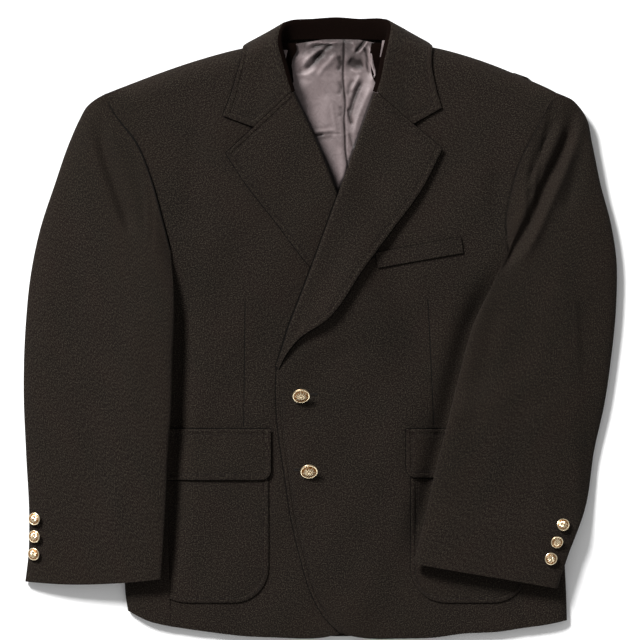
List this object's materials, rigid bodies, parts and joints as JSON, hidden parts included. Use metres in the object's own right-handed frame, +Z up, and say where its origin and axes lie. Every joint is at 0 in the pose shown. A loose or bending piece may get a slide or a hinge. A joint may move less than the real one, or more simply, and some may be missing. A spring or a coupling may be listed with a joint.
{
  "type": "suit jacket",
  "caption": "Single-breasted suit jacket with notched lapels, patch pockets with flaps and gilt buttons, laid flat on its back with its sleeves over its sides.",
  "frame": {"origin": "under the middle of the whole outline, on the surface that the jacket lies on", "axes": "+X towards the wearer's left side (the right of the picture), +Y from hem to collar, +Z up from the surface through the fronts"},
  "size_m": [0.7546, 0.7912, 0.0419],
  "materials": {
    "wool": "napped black-brown worsted wool, matt",
    "lining": "mauve-grey satin lining, soft sheen",
    "brass": "antiqued gilt brass"
  },
  "bodies": {
    "root": {"back_left": "wool", "back_right": "wool", "side_panel_left": "wool", "side_panel_right": "wool", "front_left": "wool", "front_right": "wool", "lapel_left": "wool", "lapel_right": "wool", "collar": "wool", "back_lining": "lining", "topsleeve_left": "wool", "topsleeve_right": "wool", "undersleeve_left": "wool", "undersleeve_right": "wool", "patch_pocket_left": "wool", "patch_pocket_right": "wool", "pocket_flap_left": "wool", "pocket_flap_right": "wool", "breast_welt": "wool", "front_button_1": "brass", "front_button_2": "brass", "cuff_button_left_1": "brass", "cuff_button_left_2": "brass", "cuff_button_left_3": "brass", "cuff_button_right_1": "brass", "cuff_button_right_2": "brass", "cuff_button_right_3": "brass"}
  },
  "joints": []
}
